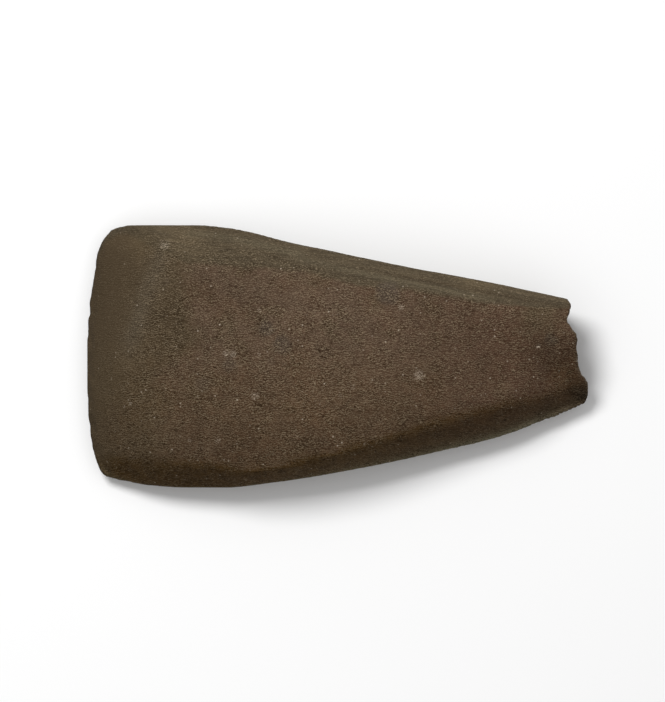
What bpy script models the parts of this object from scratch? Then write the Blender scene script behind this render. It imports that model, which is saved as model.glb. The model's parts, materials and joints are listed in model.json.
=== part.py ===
"""Stone adze head: a ground basalt blade whose butt has snapped off, lying on its front face.

The blade is one block of stone. It starts as a gridded cube, whose six faces become the ones
that the maker worked: the back with its bevel on top, the front below, the two sides, the
cutting edge and the break. A few flakes are then struck off it with a Boolean.

Frame: metres, +Z up. X runs from the cutting edge to the break and Y across the blade, and the
origin is the centre of the underside. A station is a distance back from the cutting edge. The
high side is the one at +Y, and the low side the one at -Y.
"""

import math
from bisect import bisect_right

import bmesh
import bpy
from mathutils import Vector

# Driving dimensions
LENGTH = 0.150
THICKNESS = 0.0287
EDGE_BLUNTNESS = 0.0011         # thickness left along the cutting edge

# Plan outline, as (station, distance from the centre line)
HIGH_SIDE = [(0.0072, 0.0377), (0.0095, 0.0387), (0.0135, 0.0391), (0.0220, 0.03925), (0.0340, 0.0390),
             (0.0458, 0.0375), (0.0638, 0.03305), (0.0937, 0.0268), (0.1236, 0.0211), (0.1438, 0.0168)]
LOW_SIDE = [(0.0056, -0.0350), (0.0090, -0.0363), (0.0165, -0.0381), (0.0370, -0.03925), (0.0490, -0.0384),
            (0.0787, -0.0338), (0.1086, -0.0275), (0.1236, -0.0238), (0.1386, -0.0182), (0.1490, -0.0141)]
EDGE_RADIUS = 0.175             # of the cutting edge, seen from above
EDGE_CENTRE = -0.003            # where it stands foremost, across the blade
HIGH_CORNER = (0.031, 0.0085)   # where the edge starts to round off, and the radius there
LOW_CORNER = (-0.026, 0.0150)

# The break as seen from above, as (distance from the centre line, station)
BREAK_EDGE = [(-0.0141, 0.1490), (-0.0106, 0.1499), (-0.0080, 0.1498), (-0.0056, 0.1481),
              (-0.0030, 0.1467), (0.0010, 0.1464), (0.0048, 0.1465), (0.0082, 0.1454),
              (0.0100, 0.1434), (0.0130, 0.1440), (0.0155, 0.1447), (0.0168, 0.1438)]
BREAK_LEAN_HIGH = 0.0045        # how far the break runs in under the back, at each side
BREAK_LEAN_LOW = 0.0008
BREAK_RIPPLE = 0.0005

# The back, as (station, size)
CREST = [(0.000, 0.0120), (0.010, 0.0163), (0.022, 0.0206), (0.040, 0.0250), (0.060, 0.0279),
         (0.078, THICKNESS), (0.100, 0.0282), (0.120, 0.0262), (0.135, 0.0236), (0.150, 0.0200)]
CREST_PLACE = [(0.000, 0.000), (0.040, -0.004), (0.075, -0.004), (0.110, 0.013), (0.150, 0.014)]
CROWN_RADIUS = [(0.000, 0.150), (0.075, 0.150), (0.110, 0.105), (0.150, 0.105)]     # across the back
SHOULDER_WIDTH = 0.0200         # from the low side, where the back starts to fall towards it
SHOULDER_RADIUS = 0.065

# The face ground along the low side, as (station, size): its width, the share of the thickness
# that it takes off, and the share of its width over which it rounds into the back
LOW_WIDTH = [(0.0060, 0.0070), (0.0130, 0.0080), (0.0220, 0.0080), (0.0340, 0.0074), (0.0490, 0.0040),
             (0.0640, 0.0046), (0.0790, 0.0062), (0.0940, 0.0080), (0.1090, 0.0090), (0.1240, 0.0098),
             (0.1390, 0.0082), (0.1500, 0.0086)]
LOW_SHARE = [(0.0060, 0.75), (0.0130, 0.55), (0.0220, 0.42), (0.0340, 0.50), (0.0490, 0.50),
             (0.0790, 0.48), (0.0940, 0.54), (0.1240, 0.62), (0.1500, 0.66)]
LOW_ROUND = [(0.0060, 0.95), (0.0220, 0.85), (0.0340, 0.60), (0.0490, 0.45), (0.0790, 0.45), (0.0940, 0.55),
             (0.1500, 0.60)]

# The facet ground along the high side, the bevel and its crease
FACET_WIDTH = [(0.0120, 0.0008), (0.0200, 0.0035), (0.0340, 0.0095), (0.0460, 0.0088), (0.0640, 0.0064),
               (0.0940, 0.0050), (0.1200, 0.0052), (0.1440, 0.0015)]
FACET_SLOPE = math.tan(math.radians(47))
CREASE_START = 0.0090
CREASE_SWEEP = 0.36             # how far the crease runs back, for each unit across
CREASE_CENTRE = -0.0010
CREASE_ROUND = 0.0040
BEVEL_CURVE = 0.82              # below 1, the bevel is ground slightly round

# The flat dressed on the tang, where the haft was lashed on
SEAT_STATION = 0.118
SEAT_PLACE = -0.004
SEAT_HEIGHT = 0.0240
SEAT_FALL_ALONG = math.tan(math.radians(10))
SEAT_FALL_ACROSS = math.tan(math.radians(10))

# The hollow where a spall came off the back as the butt snapped
SPALL_FROM, SPALL_TO = 0.1240, 0.1440       # stations over which it deepens
SPALL_HIGH, SPALL_LOW = 0.0090, -0.0110     # and places across
SPALL_DEPTH = 0.0048

BLEND = 0.0014                  # height over which two ground faces blend
SEAT_BLEND = 0.0005

# The front, on which the stone lies
FLAT_FROM = 0.042
FLAT_TO = 0.118
EDGE_RISE_RADIUS = 0.165
BUTT_RISE_RADIUS = 0.250
FRONT_ROUND_SHARE = 0.5         # of the half width, rounded into each side
FRONT_ROUND_DEPTH = [(0.004, 0.0002), (0.020, 0.0026), (0.050, 0.0055), (0.110, 0.0055),
                     (0.150, 0.0032)]
BATTER = [(0.004, 0.0002), (0.030, 0.0020), (0.060, 0.0028), (0.150, 0.0022)]

# Grid of the starting cube
CELLS_ALONG = 48
CELLS_ACROSS = 28
CELLS_UP = 7
ALONG_CROWDING = 1.25           # above 1, the cells are shorter towards the cutting edge
ACROSS_CROWDING = 0.7           # 0 spaces the cells evenly, 1 crowds them towards both sides

# Flakes struck off: (station, distance across, height) of the middle, then length, width, depth
FLAKES = {
    "flake_edge_nick": ((-0.0003, 0.0140, 0.0057), (0.0015, 0.0030, 0.0040)),
    "flake_low_margin": ((0.0900, -0.0318, 0.0010), (0.0200, 0.0090, 0.0050)),
    "flake_low_margin_small": ((0.1080, -0.0276, 0.0020), (0.0120, 0.0070, 0.0046)),
    "flake_high_margin": ((0.0560, 0.0352, 0.0012), (0.0220, 0.0080, 0.0050)),
    "flake_break_front": ((0.1480, 0.0020, 0.0004), (0.0130, 0.0120, 0.0060)),
}

STONE_COLOUR = (0.092, 0.063, 0.041, 1.0)
STONE_ROUGHNESS = 0.75


def blend(start, end, share):
    """The value that lies a share of the way from start to end."""
    return start + (end - start) * share


def ease(share):
    """A share held between 0 and 1 that starts and ends gently."""
    share = min(max(share, 0.0), 1.0)
    return share * share * (3 - 2 * share)


def curve_slope(points, index):
    """Slope of a smooth curve at one of its points, from the points on each side."""
    before = points[max(index - 1, 0)]
    after = points[min(index + 1, len(points) - 1)]
    return (after[1] - before[1]) / (after[0] - before[0])


def curve_value(points, place):
    """Height at a place of the smooth curve through (place, height) points."""
    places = [point[0] for point in points]
    index = min(max(bisect_right(places, place) - 1, 0), len(points) - 2)
    start, end = points[index], points[index + 1]
    span = end[0] - start[0]
    share = min(max((place - start[0]) / span, 0.0), 1.0)
    rise_out = share * (1 - share) ** 2 * span * curve_slope(points, index)
    rise_in = share ** 2 * (share - 1) * span * curve_slope(points, index + 1)
    return blend(start[1], end[1], ease(share)) + rise_out + rise_in


def lower_of(first, second, width):
    """The lower of two heights, rounded off where they differ by less than the width."""
    overlap = max(width - abs(first - second), 0.0) / width
    return min(first, second) - overlap * overlap * width / 4


def eased_ramp(share, rounding):
    """A ramp from 0 to 1 that starts gently, over the rounding, and then runs straight."""
    share = max(share, 0.0)
    eased = share * share / (2 * rounding) if share < rounding else share - rounding / 2
    return eased / (1 - rounding / 2)


def quarter_round(share):
    """Drop of a quarter ellipse, from 0 where it starts to 1 where it stands upright."""
    share = min(max(share, 0.0), 1.0)
    return 1 - math.sqrt(1 - share * share)


def edge_station(across):
    """Station of the cutting edge, with its corners rounded off."""
    station = (across - EDGE_CENTRE) ** 2 / (2 * EDGE_RADIUS)
    high_start, high_radius = HIGH_CORNER
    low_start, low_radius = LOW_CORNER
    station += max(across - high_start, 0.0) ** 2 / (2 * high_radius)
    station += max(low_start - across, 0.0) ** 2 / (2 * low_radius)
    return station


def break_station(across, up):
    """Station of the break: jagged along the back, and smoother lower down, where it leans in."""
    share = (across - BREAK_EDGE[0][0]) / (BREAK_EDGE[-1][0] - BREAK_EDGE[0][0])
    smooth = blend(BREAK_EDGE[0][1], BREAK_EDGE[-1][1], share)
    jagged = curve_value(BREAK_EDGE, across)
    lean = blend(BREAK_LEAN_LOW, BREAK_LEAN_HIGH, share) * (1 - up) ** 1.4
    ripple = BREAK_RIPPLE * math.sin(3 * math.pi * (up + 0.4 * share)) * up * (1 - up) * 4
    return blend(smooth, jagged, up ** 0.8) - lean + ripple


def front_height(station, across):
    """Height of the front, the lower face: flat in the middle and rounded up to its margins."""
    height = max(FLAT_FROM - station, 0.0) ** 2 / (2 * EDGE_RISE_RADIUS)
    height += max(station - FLAT_TO, 0.0) ** 2 / (2 * BUTT_RISE_RADIUS)
    side = curve_value(HIGH_SIDE if across > 0 else LOW_SIDE, station)
    share = (across / side - 1 + FRONT_ROUND_SHARE) / FRONT_ROUND_SHARE
    return height + curve_value(FRONT_ROUND_DEPTH, station) * quarter_round(share)


def crown_height(station, across):
    """Height of the back's crown, before the faces are ground."""
    offset = across - curve_value(CREST_PLACE, station)
    height = curve_value(CREST, station) - offset * offset / (2 * curve_value(CROWN_RADIUS, station))
    inset = across - curve_value(LOW_SIDE, station)
    return height - max(SHOULDER_WIDTH - inset, 0.0) ** 2 / (2 * SHOULDER_RADIUS)


def bevel_height(station, across):
    """Height of the bevel, which rises from the cutting edge to a crease that is swept back."""
    edge = edge_station(across)
    crease = CREASE_START + CREASE_SWEEP * math.hypot(across - CREASE_CENTRE, CREASE_ROUND)
    edge_height = front_height(edge, across) + EDGE_BLUNTNESS
    rise = crown_height(crease, across) - edge_height
    return edge_height + rise * max((station - edge) / (crease - edge), 0.0) ** BEVEL_CURVE


def back_height(station, across):
    """Height of the back: the lowest of its ground faces, less what came off the low side."""
    height = crown_height(station, across)
    facet_start = curve_value(HIGH_SIDE, station) - curve_value(FACET_WIDTH, station)
    facet = crown_height(station, facet_start) - FACET_SLOPE * (across - facet_start)
    height = lower_of(height, facet, BLEND)
    height = lower_of(height, bevel_height(station, across), BLEND)
    height -= (SPALL_DEPTH * ease((station - SPALL_FROM) / (SPALL_TO - SPALL_FROM))
               * ease((SPALL_HIGH - across) / (SPALL_HIGH - SPALL_LOW)))

    share = 1 - (across - curve_value(LOW_SIDE, station)) / curve_value(LOW_WIDTH, station)
    kept = 1 - curve_value(LOW_SHARE, station) * eased_ramp(share, curve_value(LOW_ROUND, station))
    least = front_height(station, across) + EDGE_BLUNTNESS
    height = least + (height - least) * kept

    seat = (SEAT_HEIGHT - SEAT_FALL_ALONG * (station - SEAT_STATION)
            - SEAT_FALL_ACROSS * (SEAT_PLACE - across))
    return lower_of(height, seat, SEAT_BLEND)


def stone_point(along, across, up):
    """Where a point of the starting cube ends up, from its shares along, across and up."""
    even = across
    crowded = (1 - math.cos(math.pi * across)) / 2
    across = blend(even, crowded, ACROSS_CROWDING)
    along = along ** ALONG_CROWDING

    edge = edge_station(blend(LOW_SIDE[0][1], HIGH_SIDE[0][1], across))
    end = break_station(blend(LOW_SIDE[-1][1], HIGH_SIDE[-1][1], across), up)
    station = blend(edge, end, along)
    low = curve_value(LOW_SIDE, blend(LOW_SIDE[0][0], LOW_SIDE[-1][0], along))
    high = curve_value(HIGH_SIDE, blend(HIGH_SIDE[0][0], HIGH_SIDE[-1][0], along))
    place = blend(low, high, across)

    height = blend(front_height(station, place), back_height(station, place), up)
    lean = curve_value(BATTER, station) * (1 - up) ** 1.6
    place -= lean * (2 * across - 1)
    return Vector((station - LENGTH / 2, place, height))


def make_stone(collection):
    """The blade's block: a cube gridded by its three counts, with each point moved into place."""
    bm = bmesh.new()
    bmesh.ops.create_cube(bm, size=2)
    for axis, cells in enumerate((CELLS_ALONG, CELLS_ACROSS, CELLS_UP)):
        edges = [edge for edge in bm.edges
                 if abs(edge.verts[0].co[axis] - edge.verts[1].co[axis]) > 0.5]
        bmesh.ops.subdivide_edges(bm, edges=edges, cuts=cells - 1, use_grid_fill=True)
    for vert in bm.verts:
        vert.co = stone_point(*((vert.co + Vector((1, 1, 1))) / 2))
    bmesh.ops.recalc_face_normals(bm, faces=bm.faces)
    mesh = bpy.data.meshes.new("adze_head")
    bm.to_mesh(mesh)
    bm.free()
    stone = bpy.data.objects.new("adze_head", mesh)
    collection.objects.link(stone)
    return stone


def make_flake(name, middle, size, collection):
    """A ball whose top makes one shallow flake scar, as a hidden cutter."""
    station, across, height = middle
    bm = bmesh.new()
    bmesh.ops.create_icosphere(bm, subdivisions=3, radius=1.0)
    bmesh.ops.scale(bm, vec=size, verts=bm.verts)
    mesh = bpy.data.meshes.new(name)
    bm.to_mesh(mesh)
    bm.free()
    flake = bpy.data.objects.new(name, mesh)
    flake.location = (station - LENGTH / 2, across, height)
    flake.hide_render = True
    flake.display_type = "WIRE"
    collection.objects.link(flake)
    return flake


def make_material():
    """Dark brown basalt, ground matt."""
    material = bpy.data.materials.new("ground_basalt")
    material.use_nodes = True
    shader = material.node_tree.nodes["Principled BSDF"]
    shader.inputs["Base Color"].default_value = STONE_COLOUR
    shader.inputs["Roughness"].default_value = STONE_ROUGHNESS
    shader.inputs["Metallic"].default_value = 0.0
    return material


def main():
    for obj in list(bpy.data.objects):
        bpy.data.objects.remove(obj, do_unlink=True)

    adze = bpy.data.collections.new("stone_adze")
    cutters = bpy.data.collections.new("cutters")
    for collection in (adze, cutters):
        bpy.context.scene.collection.children.link(collection)

    stone = make_stone(adze)
    for name, (middle, size) in FLAKES.items():
        cut = stone.modifiers.new(name, "BOOLEAN")
        cut.operation = "DIFFERENCE"
        cut.solver = "EXACT"
        cut.object = make_flake(name, middle, size, cutters)
    stone.data.materials.append(make_material())
    stone.data.shade_smooth()
    stone.data.set_sharp_from_angle(angle=math.radians(35))


main()
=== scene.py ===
import json
import math
from types import SimpleNamespace

import bpy
import numpy as np
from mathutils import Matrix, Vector

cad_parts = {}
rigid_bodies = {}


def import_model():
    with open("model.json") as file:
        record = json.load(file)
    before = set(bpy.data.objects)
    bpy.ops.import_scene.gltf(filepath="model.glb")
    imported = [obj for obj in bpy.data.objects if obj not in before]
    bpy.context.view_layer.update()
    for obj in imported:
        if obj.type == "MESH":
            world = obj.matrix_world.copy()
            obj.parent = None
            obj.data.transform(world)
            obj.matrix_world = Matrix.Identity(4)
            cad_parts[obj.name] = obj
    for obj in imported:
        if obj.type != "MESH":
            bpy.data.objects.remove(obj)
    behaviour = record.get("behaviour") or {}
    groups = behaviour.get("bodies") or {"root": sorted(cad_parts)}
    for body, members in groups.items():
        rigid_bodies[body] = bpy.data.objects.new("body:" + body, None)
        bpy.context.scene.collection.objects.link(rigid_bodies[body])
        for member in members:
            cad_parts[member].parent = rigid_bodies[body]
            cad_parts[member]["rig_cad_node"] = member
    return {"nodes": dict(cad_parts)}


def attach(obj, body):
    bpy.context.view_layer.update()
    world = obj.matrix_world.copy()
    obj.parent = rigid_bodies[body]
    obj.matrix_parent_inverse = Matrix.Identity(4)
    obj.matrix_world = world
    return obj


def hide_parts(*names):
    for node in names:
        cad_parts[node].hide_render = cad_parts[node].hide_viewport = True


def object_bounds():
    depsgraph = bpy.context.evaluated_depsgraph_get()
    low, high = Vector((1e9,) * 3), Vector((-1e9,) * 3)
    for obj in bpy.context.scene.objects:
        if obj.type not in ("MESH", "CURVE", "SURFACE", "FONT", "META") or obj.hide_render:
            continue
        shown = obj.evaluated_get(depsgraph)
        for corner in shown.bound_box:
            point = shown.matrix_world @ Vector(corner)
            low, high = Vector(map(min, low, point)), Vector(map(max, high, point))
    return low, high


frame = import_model()
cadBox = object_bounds()
mm = 0.001


def selectOnly(obj):
    bpy.ops.object.select_all(action="DESELECT")
    obj.select_set(True)
    bpy.context.view_layer.objects.active = obj


def applyModifier(obj, name, kind, **settings):
    selectOnly(obj)
    modifier = obj.modifiers.new(name, kind)
    for key, value in settings.items():
        setattr(modifier, key, value)
    bpy.ops.object.modifier_apply(modifier=modifier.name)


def softStep(low, high, value):
    # 0 up to low and 1 from high on, with an even curve between them
    share = np.clip((value - low) / (high - low), 0.0, 1.0)
    return share * share * (3 - 2 * share)


def paintGroup(obj, name, weights, steps=50):
    group = obj.vertex_groups.new(name=name)
    rounded = np.round(np.clip(weights, 0, 1) * steps).astype(int)
    for step in range(1, steps + 1):
        group.add(np.flatnonzero(rounded == step).tolist(), step / steps, "REPLACE")


def paintAttribute(obj, name, values):
    layer = obj.data.attributes.new(name, "FLOAT", "POINT")
    layer.data.foreach_set("value", np.clip(values, 0, 1).astype(np.float32))


def pressTexture(obj, name, kind, size, depth, group, **settings):
    # presses a pattern into the surface, never out of it
    texture = bpy.data.textures.new(name, kind)
    texture.noise_scale = size * mm
    for key, value in settings.items():
        setattr(texture, key, value)
    applyModifier(obj, name, "DISPLACE", texture=texture, texture_coords="LOCAL",
                  strength=depth * mm, mid_level=1.0, vertex_group=group)


# Lengths of the stone are in mm: along is measured back from the cutting edge, across from the
# middle, and rim inwards from the outline of the high side.
adze = {
    "voxel": 0.55,                # cell of the fine mesh
    "arrisAngle": 32,             # degrees: edges sharper than this are held as the mesh is rounded
    "arrisCrease": 0.9,           # how firmly they are held
    "soften": 2,                  # rounds of smoothing after that
    "swell": 0.29,                # gives back what the smoothing takes off
    "rimSwell": 0.26,             # and more of it round the rim
    "breakSwell": 0.50,           # and at the break, whose hollows take off the most

    # size and depth of what is pressed in
    "undulation": (15.0, 0.25),   # waves left by grinding by hand
    "edgeNicks": (3.6, 0.32),     # where the cutting edge has crumbled
    "dents": (2.4, 0.05),         # left by the hammerstone
    "grain": (1.1, 0.03),
    "breakHollows": (7.0, 0.60),  # shells and steps of the snapped face
    "breakSteps": (3.2, 0.55),
    "breakGrain": (1.2, 0.30),
    "spared": 0.85,               # share of it that the ground skin and the resting flat don't get

    # where each kind of skin lies
    "creaseStart": 9.0,           # of the bevel's crease, on its centre line
    "creaseMiddle": -1.0,         # of that line, across
    "creaseSweep": 0.36,          # how fast the crease runs back towards the corners
    "creaseTurn": 4.0,            # how gently it turns on the centre line
    "crestWidth": 3.0,            # of its rubbed crest
    "crestPlace": 2.0,            # behind the crease
    "polishFade": (11.2, 0.27),   # the edge's polish: where it is half gone on the centre line, and
                                  # how fast that runs back across the stone
    "polishBlend": 14.0,
    "oliveBlend": 7.0,
    "sideBlend": 2.2,
    "breakStart": 141.0,
    "breakBlend": 2.0,

    # how smooth the skin is beside the polished edge: 0 as pecked, 1 as polished
    "oliveSmooth": 0.1,
    "underSmooth": 0.5,
    "sideSmooth": 0.5,
    "handledSmooth": 0.3,         # what handling adds to the side
    "highSmooth": 0.34,           # pecked skin over the high half
    "tangSmooth": 0.28,           # and over the tang

    # where something begins and where it is whole: behind the edge, along, across or rim
    "nickSpan": (2.5, 0.8),
    "handledAlong": (60.0, 90.0),
    "handledRim": (7.0, 1.0),
    "highAcross": (8.0, 20.0),
    "tangAlong": (65.0, 95.0),
    "crestAcross": (-8.0, 6.0),
    "warmthAcross": (10.0, -18.0),
    "warmthStart": (0.0, 14.0),
    "warmthEnd": (130.0, 85.0),
    "buttAlong": (72.0, 142.0),
    "sidePaling": (105.0, 140.0),
    "lowPaling": (105.0, 150.0),
    "bounceAlong": (40.0, 90.0),
    "bounceSpread": (50.0, 100.0),
    "bounceEnd": (136.0, 146.0),
    "flatHeight": (1.2, 0.2),     # above the table

    # the same for the way that the surface faces: 1 is straight that way, 0 is level with it
    "highFacing": (0.0, 0.25),
    "highTurning": (-0.7, -0.3),
    "lowFacing": (0.15, 0.75),
    "underFacing": (0.0, 0.5),
    "breakFacing": (0.35, 0.75),
    "flatFacing": (0.9, 0.99),
    "bounceTurning": (-0.6, 0.0),

    "underOlive": 0.3,            # how olive the underside is
    "sidePale": 0.15,             # how far the high side's skin thins out along the tang, and how far the low side's painted shade does
    "lowPale": 0.4,               # and the low side's
    "bounceReach": (0.5, 1.0),      # of the painted light on the low rim, which stands in for the light that the paper throws up: by the edge, and what the tang adds
    "bounceShare": (0.45, 0.55),    # how strong it is: by the edge, and what the tang adds
    "bounceLoss": 0.5,              # what it loses again at the break

    "bruiseDepth": 0.12,
    "lineDepth": 0.12,            # of the deeper lines along the high side
    "strokeStep": 1.9,            # between the grinding strokes there
    "strokeDepth": 0.05,
    "strokeLean": 0.03,           # how fast they run in from the rim
    "lineFade": (-0.02, 0.10),    # of a line's length at each end

    # how far back the olive skin of the bevel reaches, as (across, along)
    "oliveEnd": [(-33.0, 20.0), (-21.4, 19.5), (-13.6, 24.0), (-5.5, 20.0), (5.0, 33.0), (16.9, 28.5),
                 (25.9, 30.3)],
    # how far in the ground skin of the high side reaches, as (along, rim)
    "sideEnd": [(12.0, 2.0), (20.0, 7.0), (30.0, 11.7), (46.0, 10.8), (66.0, 7.5), (81.0, 8.7), (96.0, 6.6),
                (116.0, 6.6), (136.0, 5.2), (146.0, 4.0)],
    # lines left along the high side by its grinding: (along, rim) of each end, half width, strength
    "darkLines": [(78.0, 3.2, 152.0, 2.6, 0.6, 1.0), (49.0, 5.0, 76.0, 6.9, 0.6, 0.6),
                  (66.0, 5.8, 126.0, 6.9, 0.8, 0.5), (30.0, 0.5, 62.0, 0.4, 0.5, 0.6)],
    "paleLines": [(60.0, 4.2, 122.0, 4.9, 1.0, 0.25), (28.0, 2.6, 66.0, 3.0, 1.2, 0.3)],
    # shallow hollows of the back: (along, across, radius, depth)
    "hollows": [(42.0, 15.0, 12.0, 0.30), (28.0, 3.0, 10.0, 0.22), (70.0, -6.0, 14.0, 0.15),
                (136.0, -4.0, 9.0, 0.25)],
    # where the rim is fuller: (along, across, radius, distance)
    "fullRims": [(5.0, -36.0, 9.0, 0.9), (150.0, -11.0, 6.0, 0.6), (143.0, -19.0, 9.0, 0.4)],

    # spots, each as (along, across, radius, strength): those that a blow has crushed,
    "bruises": [
        (23.3, 33.2, 2.0, 0.65), (41.8, 0.8, 1.5, 0.7), (43.9, 0.6, 1.6, 0.8), (51.5, 0.6, 1.2, 0.35),
        (50.5, -11.6, 1.9, 0.55), (99.2, -5.6, 2.2, 0.85), (93.9, 14.6, 1.3, 0.6), (134.9, 3.0, 0.7, 3.0),
        (79.5, -9.2, 1.1, 0.35), (75.8, -11.8, 1.0, 0.35), (51.6, 13.7, 1.2, 0.3), (83.0, -26.0, 0.7, 0.7),
        (31.0, -25.0, 0.9, 0.5), (39.5, -25.0, 1.3, 0.6), (13.2, -14.2, 0.7, 1.2),
    ],
    # olive skin outside the bevel,
    "olivePatches": [
        (136.0, 13.0, 13.0, 0.7), (32.5, -10.0, 7.0, 0.6), (42.0, 9.4, 6.0, 0.5), (68.0, 22.6, 7.0, 0.4),
        (87.0, 16.0, 5.0, 0.4),
    ],
    # darker patches: the stone's own mottling, and painted shade where the spall by the break and the low
    # side turn from the light,
    "darkPatches": [
        (136.0, 2.5, 10.0, 0.45), (146.0, 4.0, 7.0, 0.3), (148.5, -12.0, 8.0, 1.0), (118.0, -4.0, 7.0, 0.2),
        (25.5, 13.0, 9.0, 0.35), (52.0, -12.0, 6.0, 0.2), (67.0, -26.0, 7.0, 0.3), (4.0, 24.0, 19.0, 0.2),
        (139.0, -17.0, 7.0, 0.52), (113.0, 12.0, 9.0, 0.15), (34.0, 20.0, 10.0, 0.30),
        (81.0, -19.0, 10.0, 0.28), (97.0, -18.0, 11.0, 0.28), (46.0, -24.0, 11.0, 0.30),
        (34.0, -17.0, 6.0, 0.20), (24.0, -1.0, 6.0, 0.20), (40.0, 35.0, 10.0, 0.12),
        (46.0, 22.0, 15.0, 0.20), (103.0, 14.0, 13.0, 0.21),
    ],
    # grey clay left in the pores,
    "clayPatches": [
        (23.5, 22.0, 4.5, 0.5), (54.0, 8.2, 4.5, 0.9), (58.5, 3.6, 5.5, 1.0), (42.8, -2.4, 4.5, 0.9),
        (34.5, -8.5, 5.0, 0.9), (55.0, -2.0, 3.5, 0.6), (90.0, 18.4, 6.5, 1.0), (138.5, 5.0, 5.0, 0.7),
    ],
    # and pale dust
    "dustPatches": [
        (9.0, -8.0, 18.0, 0.75), (30.0, 36.0, 14.0, 0.6), (19.0, -24.0, 14.0, 0.6), (17.0, 33.0, 7.0, 0.8),
        (5.0, -30.0, 7.0, 0.5), (117.0, 23.0, 9.0, 0.6), (101.0, -4.0, 5.0, 0.4), (124.0, -10.0, 5.0, 0.4),
    ],
}


def makeStone():
    selectOnly(frame["nodes"]["adze_head"])
    bpy.ops.object.duplicate()
    stone = bpy.context.active_object
    stone.name = "adzeStone"
    del stone["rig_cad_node"]
    bpy.ops.object.mode_set(mode="EDIT")
    bpy.ops.mesh.select_all(action="SELECT")
    bpy.ops.mesh.remove_doubles(threshold=0.000001)
    # the solid's facets are quads cut in two: made whole again they round off evenly
    bpy.ops.mesh.tris_convert_to_quads()
    bpy.ops.mesh.select_all(action="DESELECT")
    bpy.ops.mesh.select_mode(type="EDGE")
    bpy.ops.mesh.edges_select_sharp(sharpness=math.radians(adze["arrisAngle"]))
    bpy.ops.transform.edge_crease(value=adze["arrisCrease"])
    bpy.ops.object.mode_set(mode="OBJECT")
    applyModifier(stone, "round", "SUBSURF", levels=2, render_levels=2)
    applyModifier(stone, "fineMesh", "REMESH", mode="VOXEL", voxel_size=adze["voxel"] * mm)
    applyModifier(stone, "soften", "SMOOTH", factor=0.5, iterations=adze["soften"])
    return stone


def readPoints(stone, what):
    values = np.zeros(len(stone.data.vertices) * 3)
    stone.data.vertices.foreach_get(what, values)
    return values.reshape(-1, 3)


def movePoints(stone, places):
    stone.data.vertices.foreach_set("co", (places * mm).ravel())
    stone.data.update()


def outlineAt(position, values, pick):
    # the least or the greatest value in each slice of 1 mm, read at each point's position
    slices = np.floor(position).astype(int)
    found = np.unique(slices)
    ends = [pick(values[slices == number]) for number in found]
    return np.interp(position, found + 0.5, ends)


def surveyStone(stone):
    # where each point lies, how its surface faces, and how far in from the outline it is
    places, facing = readPoints(stone, "co") / mm, readPoints(stone, "normal")
    along, across = places[:, 0] - cadBox[0][0] / mm, places[:, 1]
    return SimpleNamespace(
        places=places, facing=facing, along=along, across=across,
        upward=facing[:, 2] > 0,
        behindEdge=along - outlineAt(across, along, np.min),
        rim=outlineAt(along, across, np.max) - across,
        lowRim=across - outlineAt(along, across, np.min))


def spots(at, patches):
    # soft round spots: full in the middle, 0 at the radius
    total = np.zeros(len(at.along))
    for spotAlong, spotAcross, radius, strength in patches:
        distance = np.hypot(at.along - spotAlong, at.across - spotAcross) / radius
        total = np.maximum(total, strength * softStep(1.0, 0.0, distance))
    return total


def lineMarks(at, lines):
    total = np.zeros(len(at.along))
    for startAlong, startRim, endAlong, endRim, width, strength in lines:
        share = (at.along - startAlong) / (endAlong - startAlong)
        offset = at.rim - startRim - (endRim - startRim) * share
        faded = softStep(*adze["lineFade"], share) * softStep(*adze["lineFade"], 1 - share)
        total = np.maximum(total, strength * np.exp(-(offset / width) ** 2) * faded)
    return total


def findSkins(at):
    # how much of each kind of skin there is at each point, from 0 to 1
    forward, sideways, up = at.facing.T
    fadeStart, fadeSlope = adze["polishFade"]
    behindFade = at.along - fadeStart - fadeSlope * at.across
    polish = softStep(adze["polishBlend"], -adze["polishBlend"], behindFade)
    behindOlive = at.along - np.interp(at.across, *np.array(adze["oliveEnd"]).T)
    olive = softStep(adze["oliveBlend"], -adze["oliveBlend"], behindOlive)

    # the high side's ground skin ends where the surface turns away under the stone
    insideEnd = at.rim - np.interp(at.along, *np.array(adze["sideEnd"]).T)
    highSide = softStep(adze["sideBlend"], -adze["sideBlend"], insideEnd)
    highSide *= softStep(*adze["highFacing"], sideways) * softStep(*adze["highTurning"], up)
    lowSide = softStep(*adze["lowFacing"], -sideways)
    under = softStep(*adze["underFacing"], -up)
    behindBreak = at.along - adze["breakStart"]
    broken = softStep(*adze["breakFacing"], forward)
    broken *= softStep(-adze["breakBlend"], adze["breakBlend"], behindBreak)
    resting = softStep(*adze["flatHeight"], at.places[:, 2]) * softStep(*adze["flatFacing"], -up)

    handled = np.maximum(softStep(*adze["handledAlong"], at.along), softStep(*adze["handledRim"], at.rim))
    smooth = np.maximum.reduce([
        polish,
        adze["oliveSmooth"] * olive,
        adze["underSmooth"] * under,
        (adze["sideSmooth"] + adze["handledSmooth"] * handled) * highSide,
        adze["highSmooth"] * softStep(*adze["highAcross"], at.across),
        adze["tangSmooth"] * softStep(*adze["tangAlong"], at.along) * (1 - lowSide)])
    return SimpleNamespace(smooth=smooth, olive=olive, highSide=highSide, lowSide=lowSide, under=under,
                           broken=broken, resting=resting)


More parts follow.
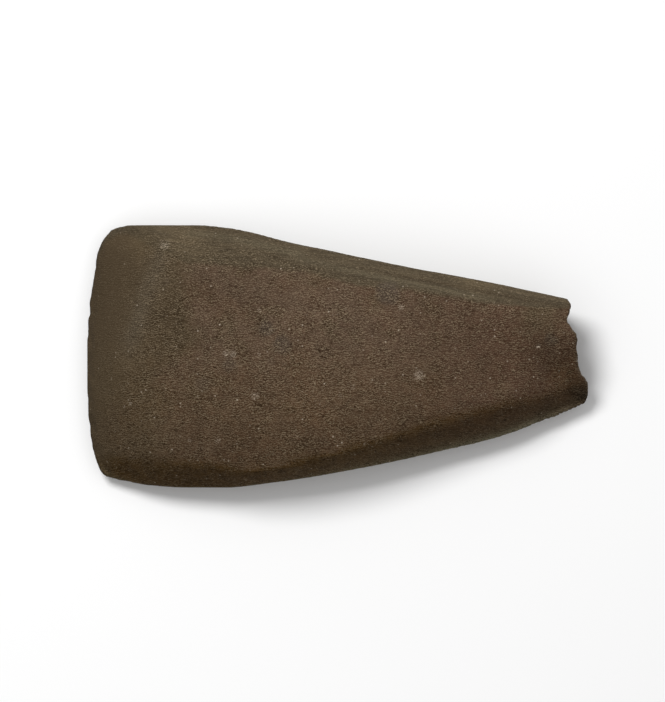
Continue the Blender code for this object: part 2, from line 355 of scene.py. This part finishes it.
def shapeStone(stone, at, skins):
    free = 1 - adze["spared"] * skins.resting
    paintGroup(stone, "free", free)
    paintGroup(stone, "pecked", (1 - adze["spared"] * skins.smooth) * (1 - skins.broken) * free)
    paintGroup(stone, "broken", skins.broken)
    paintGroup(stone, "edge", softStep(*adze["nickSpan"], at.behindEdge) * free)

    # hollows and bruises, and the lines and strokes along the high side
    down = adze["bruiseDepth"] * spots(at, adze["bruises"])
    for hollowAlong, hollowAcross, radius, depth in adze["hollows"]:
        distance = np.hypot(at.along - hollowAlong, at.across - hollowAcross) / radius
        down += depth * np.clip(1 - distance ** 2, 0, 1) ** 2
    strokePlace = (at.rim + adze["strokeLean"] * at.along) / adze["strokeStep"]
    strokes = 0.5 - 0.5 * np.cos(2 * math.pi * strokePlace)
    lines = lineMarks(at, adze["darkLines"])
    down += skins.highSide * (adze["lineDepth"] * lines + adze["strokeDepth"] * strokes)

    out = adze["swell"] * (1 - skins.resting) + adze["breakSwell"] * skins.broken - down * at.upward
    rimFacing = 1 - np.abs(at.facing[:, 2])
    out += rimFacing * (adze["rimSwell"] * (1 - skins.broken) + spots(at, adze["fullRims"]))
    movePoints(stone, at.places + out[:, None] * at.facing)

    for name, kind, group, settings in [
            ("undulation", "CLOUDS", "free", {"noise_depth": 1}),
            ("edgeNicks", "CLOUDS", "edge", {"noise_depth": 2, "contrast": 2.0}),
            ("dents", "VORONOI", "pecked", {}),
            ("grain", "CLOUDS", "pecked", {"noise_depth": 1}),
            ("breakHollows", "CLOUDS", "broken", {"noise_depth": 1, "contrast": 1.6}),
            ("breakSteps", "VORONOI", "broken", {"distance_metric": "MANHATTAN"}),
            ("breakGrain", "CLOUDS", "broken", {"noise_depth": 2})]:
        size, depth = adze[name]
        pressTexture(stone, name, kind, size, depth, group, **settings)
    stone.vertex_groups.clear()
    # nothing may stand out of the solid's box
    movePoints(stone, np.clip(readPoints(stone, "co"), *cadBox) / mm)


def paintStone(stone, at, skins):
    # paints the marks that the finish reads, and gives back their names
    sweep = np.hypot(at.across - adze["creaseMiddle"], adze["creaseTurn"])
    behindCrest = at.along - adze["creaseStart"] - adze["creaseSweep"] * sweep - adze["crestPlace"]
    crest = np.exp(-(behindCrest / adze["crestWidth"]) ** 2) * softStep(*adze["crestAcross"], at.across)
    # a warmer tone over the low half of the face, fading out along the tang
    rust = softStep(*adze["warmthAcross"], at.across) * softStep(*adze["warmthEnd"], at.along)
    rust *= softStep(*adze["warmthStart"], at.along)

    # painted light along the low rim: a pale band that stands in for the light that the white paper throws
    # up on it
    reach, moreReach = adze["bounceReach"]
    share, moreShare = adze["bounceShare"]
    rimWear = np.exp(-at.lowRim / (reach + moreReach * softStep(*adze["bounceSpread"], at.along)))
    rimWear *= share + moreShare * softStep(*adze["bounceAlong"], at.along)
    rimWear *= 1 - adze["bounceLoss"] * softStep(*adze["bounceEnd"], at.along)
    rimWear *= softStep(*adze["bounceTurning"], at.facing[:, 2])

    olives = np.maximum(skins.olive, spots(at, adze["olivePatches"]) * at.upward)
    marks = {
        "peckedSkin": 1 - skins.smooth,
        "oliveSkin": np.maximum(olives, adze["underOlive"] * skins.under),
        "sideSkin": skins.highSide * (1 - adze["sidePale"] * softStep(*adze["sidePaling"], at.along)),
        # painted shade on the low side, which faces away from the key light
        "lowSkin": skins.lowSide * (1 - adze["lowPale"] * softStep(*adze["lowPaling"], at.along)),
        "buttSkin": softStep(*adze["buttAlong"], at.along),
        "brokenSkin": skins.broken,
        "rimWear": rimWear,
        "crestWear": crest * at.upward,
        "rust": rust * at.upward,
        "crushed": spots(at, adze["bruises"]) * at.upward,
    }
    for name in ("darkLines", "paleLines"):
        marks[name] = lineMarks(at, adze[name]) * at.upward
    for name in ("darkPatches", "clayPatches", "dustPatches"):
        marks[name] = spots(at, adze[name]) * at.upward
    for name, values in marks.items():
        paintAttribute(stone, name, values)
    return list(marks)


finish = {
    "ior": 1.5,
    "specular": 0.1,              # dusty stone, so well under the 0.5 of a clean one
    "roughPecked": 0.85,
    "roughGround": 0.70,

    "peckedColour": "5F4C3D",     # iron-stained crust in the dents
    "redColour": "614A39",
    "umberColour": "534432",
    "lowerWarmthColour": "634C34",       # warmer over the low half of the face
    "buttColour": "5C4334",       # redder towards the break
    "oliveColour": "574936",      # skin of the ground bevel
    "crestColour": "5C5141",      # paler where the crease is rubbed
    "dustColour": "6A5B43",
    "sideColour": "4E4434",       # greyer skin of the high side, rubbed by handling
    "lowShadeColour": "583F10",        # painted shade: darker and yellower on the low side, which faces away from the key light
    "rimLightAndPaleLineColour": "A09A7F",        # pale: painted light on the low rim in place of the paper's bounce, and the pale lines of the high side
    "breakColour": "4E4030",
    "darkColour": "2E2213",
    "clayColour": "554B42",
    "chalkColour": "D0C0AA",      # powder of crushed spots, and the largest feldspars
    "feldsparColour": "94836A",   # pale crystals of the grain
    "augiteColour": "2A1B08",     # dark crystals

    # clouds: size in mm, detail and roughness
    "clouds": {
        "tints": (16.0, 3.0, 0.55),
        "blotches": (8.0, 4.0, 0.62),
        "grainPatches": (4.0, 2.0, 0.6),   # where the grain shows more or less
        "mottle": (3.5, 2.0, 0.6),
        "fraying": (1.6, 3.0, 0.7),        # breaks up the border of each skin
    },
    "frayShare": 0.5,
    # how far the border of each skin is frayed
    "frayedSkins": {"oliveSkin": 0.9, "sideSkin": 0.6, "lowSkin": 0.4, "clayPatches": 0.8},

    "strokeSize": 1.1,            # mm, between grinding scratches
    "strokeLength": 25.0,         # how many times longer than wide they are
    "strokeAngle": 12,            # degrees that they run off the stone's length
    "strokeDetail": (3.0, 0.65),
    "grainSize": (0.28, 0.13),    # mm, length and width of a crystal, drawn coarse so that it shows
    "grainUneven": 0.7,           # how unevenly the crystals lie
    "streakSpacing": 0.64,        # mm, between the fine wavy streaks that they lie in, coarse as well
    "streakWaves": {"Distortion": 10.0, "Detail": 1.0, "Detail Scale": 1.4, "Detail Roughness": 0.6},
    "streakShare": 0.58,
    "speckSpacing": 1.3,          # mm, between the largest feldspars
    "grainDepth": 0.08,           # mm, of the relief that is finer than the mesh

    # Layers, from the oldest to the newest: a colour, and the factors of how thick it lies. A factor
    # is a number, a mark or a cloud, or one of those ranged as (name, low, high, least, most).
    "skinLayers": [
        ("redColour", ("tints", 0.44, 0.62, 0.0, 0.8)),
        ("umberColour", ("blotches", 0.52, 0.70, 0.0, 0.5)),
        ("buttColour", "buttSkin", ("ragged", 0.3, 0.9, 0.5, 1.0)),
        ("oliveColour", ("frayedOliveSkin", 0.6, 1.5, 0.0, 1.0)),
        ("crestColour", "crestWear", ("ragged", 0.3, 0.9, 0.5, 1.0)),
        ("sideColour", ("frayedSideSkin", 0.55, 1.3, 0.0, 1.0)),
        # painted shade on the low side
        ("lowShadeColour", ("frayedLowSkin", 0.4, 1.1, 0.0, 1.0)),
        ("buttColour", "lowSkin", "buttSkin", 0.8),
        # painted light on the low rim
        ("rimLightAndPaleLineColour", "rimWear", 0.9),
        ("clayColour", ("frayedClayPatches", 0.85, 1.35, 0.0, 0.65)),
        ("lowerWarmthColour", "rust", 0.45),
        ("dustColour", "dustPatches", 0.5),
        ("breakColour", "brokenSkin"),
        # darker patches, partly painted shade
        ("darkColour", "darkPatches", ("ragged", 0.3, 0.9, 0.6, 1.0)),
        ("darkColour", "darkLines", 0.35),
        ("rimLightAndPaleLineColour", "paleLines", 0.24),
    ],
    # grinding strokes along the high side, and clouds of shade where the stone was only pecked
    "shades": [
        ("sideSkin", ("strokes", 0.40, 0.60, 0.85, 1.14)),
        ("peckedSkin", ("mottle", 0.35, 0.65, 0.87, 1.13)),
    ],
    "grainShown": [("peckedSkin", 0.0, 1.0, 0.30, 1.0), ("grainPatches", 0.40, 0.60, 0.72, 1.10)],
    "grainLayers": [
        ("augiteColour", ("crystal", 0.79, 0.37, 0.0, 0.80), "grainy"),
        ("feldsparColour", ("crystal", 0.94, 1.31, 0.0, 0.82), ("dulled", 0.0, 1.0, 1.0, 0.7), "grainy"),
        ("chalkColour", ("speckChance", 0.86, 1.0, 0.0, 0.75), ("speck", 0.26, 0.10, 0.0, 1.0), "grainy"),
        ("chalkColour", ("crystal", 0.74, 1.19, 0.05, 1.0), "crushed"),
    ],
    "scratches": ["strokes", "sideSkin", 1.2],
}


def colourFromHex(code):
    # sRGB hex to the linear colour that shaders use
    channels = [int(code[i:i + 2], 16) / 255 for i in (0, 2, 4)]
    linear = [c / 12.92 if c <= 0.04045 else ((c + 0.055) / 1.055) ** 2.4 for c in channels]
    return (*linear, 1.0)


def addNode(material, kind, settings, inputs, output=0):
    # adds a node, sets or links its inputs, and gives back one of its outputs
    node = material.node_tree.nodes.new("ShaderNode" + kind)
    for key, value in settings.items():
        setattr(node, key, value)
    for key, value in inputs.items():
        if isinstance(value, bpy.types.NodeSocket):
            material.node_tree.links.new(value, node.inputs[key])
        else:
            node.inputs[key].default_value = value
    return node.outputs[output]


def multiplied(material, maps, factors):
    product = None
    for factor in factors:
        if isinstance(factor, tuple):
            name, low, high, least, most = factor
            factor = addNode(material, "MapRange", {"interpolation_type": "SMOOTHSTEP"},
                             {"Value": maps[name], "From Min": low, "From Max": high,
                              "To Min": least, "To Max": most})
        factor = maps[factor] if isinstance(factor, str) else factor
        if product is None:
            product = factor
        else:
            product = addNode(material, "Math", {"operation": "MULTIPLY"}, {0: product, 1: factor})
    return product


def layColours(material, maps, skin, layers):
    # lays colours over the skin one by one, each as thick as its factors say
    for colour, *factors in layers:
        thickness = multiplied(material, maps, factors)
        skin = addNode(material, "Mix", {"data_type": "RGBA"},
                       {0: thickness, 6: skin, 7: colourFromHex(finish[colour])}, 2)
    return skin


def mapMarks(material, markNames):
    # the painted marks, the clouds, and the marks with their borders frayed by the clouds
    place = addNode(material, "TexCoord", {}, {}, "Object")
    maps = {"place": place}
    for name in markNames:
        maps[name] = addNode(material, "Attribute", {"attribute_name": name}, {}, "Fac")
    for name, (size, detail, roughness) in finish["clouds"].items():
        maps[name] = addNode(material, "TexNoise", {}, {"Vector": place, "Scale": 1 / (size * mm),
                             "Detail": detail, "Roughness": roughness})
    maps["ragged"] = addNode(material, "Math", {"operation": "MULTIPLY_ADD"},
                             {0: maps["fraying"], 1: finish["frayShare"], 2: maps["blotches"]})
    for name, share in finish["frayedSkins"].items():
        maps["frayed" + name[0].upper() + name[1:]] = addNode(
            material, "Math", {"operation": "MULTIPLY_ADD"}, {0: maps["ragged"], 1: share, 2: maps[name]})
    maps["dulled"] = addNode(material, "Math", {"operation": "ADD"},
                             {0: maps["lowSkin"], 1: maps["darkPatches"]})
    return maps


def mapGrain(material, maps):
    # scratches of the grinding, which run along the stone
    run = addNode(material, "Mapping", {"vector_type": "TEXTURE"},
                  {"Vector": maps["place"], "Scale": (finish["strokeLength"], 1.0, 1.0),
                   "Rotation": (0, 0, math.radians(-finish["strokeAngle"]))})
    detail, roughness = finish["strokeDetail"]
    maps["strokes"] = addNode(material, "TexNoise", {}, {"Vector": run,
                              "Scale": 1 / (finish["strokeSize"] * mm),
                              "Detail": detail, "Roughness": roughness})

    # crystals, whose value is low in a dark one and high in a pale one, and the streaks they lie in
    length, width = finish["grainSize"]
    lengthwise = addNode(material, "Mapping", {}, {"Vector": maps["place"], "Scale": (width / length, 1, 1)})
    cells = addNode(material, "TexVoronoi", {}, {"Vector": lengthwise, "Scale": 1 / (width * mm),
                    "Randomness": finish["grainUneven"]}, "Color")
    maps["crystalHeight"] = addNode(material, "SeparateColor", {}, {0: cells})
    crystalChance = maps["crystalHeight"].node.outputs[1]
    bandScale = math.pi / 10 / (finish["streakSpacing"] * mm)    # at scale 1 the bands lie pi / 10 apart
    streaks = addNode(material, "TexWave", {"bands_direction": "Y"},
                      {"Vector": maps["place"], "Scale": bandScale, **finish["streakWaves"]}, "Fac")
    maps["crystal"] = addNode(material, "Math", {"operation": "MULTIPLY_ADD"},
                              {0: streaks, 1: finish["streakShare"], 2: crystalChance})
    maps["speck"] = addNode(material, "TexVoronoi", {}, {"Vector": maps["place"],
                            "Scale": 1 / (finish["speckSpacing"] * mm)}, "Distance")
    maps["speckChance"] = addNode(material, "SeparateColor", {}, {0: maps["speck"].node.outputs["Color"]})
    maps["grainy"] = multiplied(material, maps, finish["grainShown"])


def makeBasalt(markNames):
    # fine basalt, pecked with a hammerstone and then partly ground on wet sandstone:
    # matt, grainy and red-brown where it was only pecked, smooth and olive where it was ground
    material = bpy.data.materials.new("peckedAndGroundBasalt")
    material.use_nodes = True
    shader = material.node_tree.nodes["Principled BSDF"]
    shader.inputs["IOR"].default_value = finish["ior"]
    shader.inputs["Specular IOR Level"].default_value = finish["specular"]
    maps = mapMarks(material, markNames)
    mapGrain(material, maps)

    skin = layColours(material, maps, colourFromHex(finish["peckedColour"]), finish["skinLayers"])
    for mark, *shade in finish["shades"]:
        shown = addNode(material, "Mix", {"data_type": "FLOAT"},
                        {0: maps[mark], 2: 1.0, 3: multiplied(material, maps, shade)})
        skin = addNode(material, "Mix", {"data_type": "RGBA", "blend_type": "MULTIPLY"},
                       {0: 1.0, 6: skin, 7: shown}, 2)
    skin = layColours(material, maps, skin, finish["grainLayers"])
    rough = addNode(material, "Mix", {"data_type": "FLOAT"},
                    {0: maps["peckedSkin"], 2: finish["roughGround"], 3: finish["roughPecked"]})

    # relief finer than the mesh: the grain, and scratches along the high side
    scratches = multiplied(material, maps, finish["scratches"])
    relief = addNode(material, "Math", {"operation": "MULTIPLY_ADD"},
                     {0: maps["crystalHeight"], 1: maps["grainy"], 2: scratches})
    bumps = addNode(material, "Bump", {}, {"Strength": 1.0, "Distance": finish["grainDepth"] * mm,
                    "Height": relief})
    for output, name in ((skin, "Base Color"), (rough, "Roughness"), (bumps, "Normal")):
        material.node_tree.links.new(output, shader.inputs[name])
    return material


room = {
    "floorColour": "F7F7F7",
    "floorRoughness": 0.9,
    "floorSize": 3.0,             # m
    "floorDrop": 0.0001,          # below the stone's resting flat, so that the two don't flicker
    "keyAzimuth": 12,             # degrees from +Y towards +X
    "keyElevation": 45,
    "keyDistance": 1.2,
    "keySize": 0.5,
    "keyPower": 12.6,             # W, on the stone alone
    "paperKeySize": 0.47,         # m, of the box that throws the stone's shadow on the paper
    "paperKeyPlace": (-0.391, 0.523, 1.078),
    "paperKeyPower": 11.1,
    "paperFillSize": 2.7,         # of the one overhead that softens it
    "paperFillPlace": (0.0, 0.0, 1.2),
    "paperFillPower": 7.7,
    "skyStrength": 0.27,
    "lens": 500,                  # mm: a long one, because the outline shows hardly any perspective
    "sensorWidth": 36,
    "clip": (0.05, 20),           # m, the nearest and farthest that it sees
    "viewHeight": 0.210,          # m, seen from top to bottom at the widest part of the stone
    "widestHeight": 0.012,
    "aim": (-0.0015, 0.0016),     # the middle of the view, beside the middle of the stone
}


def addSoftbox(name, place, size, power, lit):
    # a round soft light that looks at the stone and lights one thing only
    bpy.ops.object.light_add(type="AREA", location=place)
    box = bpy.context.active_object
    box.name = name
    box.rotation_euler = place.to_track_quat("Z", "Y").to_euler()
    box.data.shape = "DISK"
    box.data.size = size
    box.data.energy = power
    box.visible_camera = False
    litOnly = bpy.data.collections.new(name + "Lights")
    litOnly.objects.link(lit)
    box.light_linking.receiver_collection = litOnly


def makeRoom(stone):
    bpy.ops.mesh.primitive_plane_add(size=room["floorSize"], location=(0, 0, -room["floorDrop"]))
    floor = bpy.context.active_object
    floor.name = "studioFloor"
    paper = bpy.data.materials.new("whitePaper")
    paper.use_nodes = True
    sheet = paper.node_tree.nodes["Principled BSDF"]
    sheet.inputs["Base Color"].default_value = colourFromHex(room["floorColour"])
    sheet.inputs["Roughness"].default_value = room["floorRoughness"]
    sheet.inputs["Specular IOR Level"].default_value = 0.0
    floor.data.materials.append(paper)
    floor.visible_diffuse = False    # so that the paper throws no light up the stone's dark side

    azimuth, elevation = math.radians(room["keyAzimuth"]), math.radians(room["keyElevation"])
    towards = Vector((math.sin(azimuth) * math.cos(elevation), math.cos(azimuth) * math.cos(elevation),
                      math.sin(elevation)))
    addSoftbox("keySoftbox", towards * room["keyDistance"], room["keySize"], room["keyPower"], stone)
    for name in ("paperKey", "paperFill"):
        addSoftbox(name, Vector(room[name + "Place"]), room[name + "Size"], room[name + "Power"], floor)

    world = bpy.context.scene.world or bpy.data.worlds.new("sky")
    bpy.context.scene.world = world
    world.use_nodes = True
    world.node_tree.nodes["Background"].inputs["Color"].default_value = (1, 1, 1, 1)
    world.node_tree.nodes["Background"].inputs["Strength"].default_value = room["skyStrength"]
    bpy.context.scene.view_settings.view_transform = "Standard"


def makeCamera():
    bpy.ops.object.camera_add()
    camera = bpy.context.active_object
    camera.name = "camera"
    camera.data.lens = room["lens"]
    camera.data.sensor_width = room["sensorWidth"]
    distance = room["viewHeight"] * room["lens"] / room["sensorWidth"]
    camera.location = (room["aim"][0], room["aim"][1], room["widestHeight"] + distance)
    camera.rotation_euler = (0, 0, 0)
    camera.data.clip_start, camera.data.clip_end = room["clip"]
    bpy.context.scene.camera = camera


makeCamera()
stone = makeStone()
print("fine mesh:", len(stone.data.polygons), "faces")
at = surveyStone(stone)
skins = findSkins(at)
shapeStone(stone, at, skins)
markNames = paintStone(stone, at, skins)
print("stone shaped:", sum(len(face.vertices) - 2 for face in stone.data.polygons), "triangles")
stone.data.materials.clear()
stone.data.materials.append(makeBasalt(markNames))
selectOnly(stone)
bpy.ops.object.shade_smooth()
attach(stone, "root")
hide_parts("adze_head")
print("stone finished with", len(markNames), "painted marks")
makeRoom(stone)
print("room, light and camera are set")
